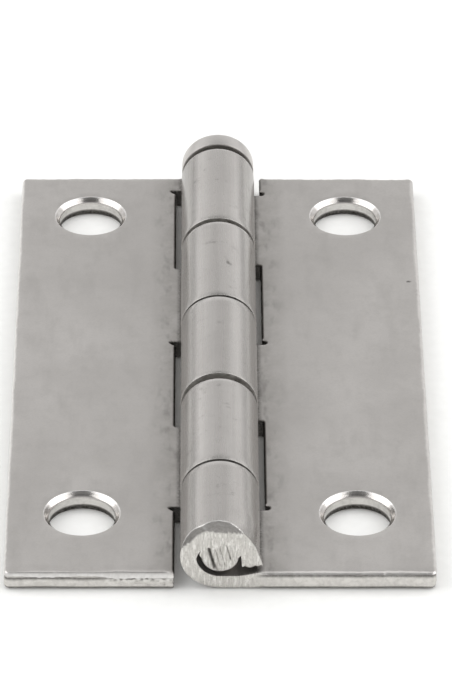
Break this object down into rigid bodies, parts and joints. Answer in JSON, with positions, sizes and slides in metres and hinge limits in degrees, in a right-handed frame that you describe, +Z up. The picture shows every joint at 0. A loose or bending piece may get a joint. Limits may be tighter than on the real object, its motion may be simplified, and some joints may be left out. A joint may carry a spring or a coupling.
{
  "type": "butt hinge",
  "caption": "Butt hinge lying open: rectangular steel leaves with rolled knuckles interleaved on a headed pin, and a round screw hole near each end of each leaf.",
  "frame": {"origin": "under the middle of the whole hinge, on the plane of the backs of the open leaves", "axes": "+Y along the pin towards its head, +X across to the edge of the three-knuckle leaf, +Z up out of the leaves on the barrel's side"},
  "size_m": [0.0446, 0.076, 0.0082],
  "materials": {
    "leaf_steel": "satin stainless, faintly brushed, with bare sheared edges",
    "pin_steel": "satin stainless, with a saw-cut end"
  },
  "bodies": {
    "fixed_leaf": {"three_knuckle_leaf": "leaf_steel", "hinge_pin": "pin_steel"},
    "swinging_leaf": {"two_knuckle_leaf": "leaf_steel"}
  },
  "joints": [
    {"name": "leaf_swing", "type": "hinge", "parent": "fixed_leaf", "child": "swinging_leaf", "pos_m": [0, 0, 0.0041], "axis": [0, 1, 0], "range_deg": [-94, 190]}
  ]
}
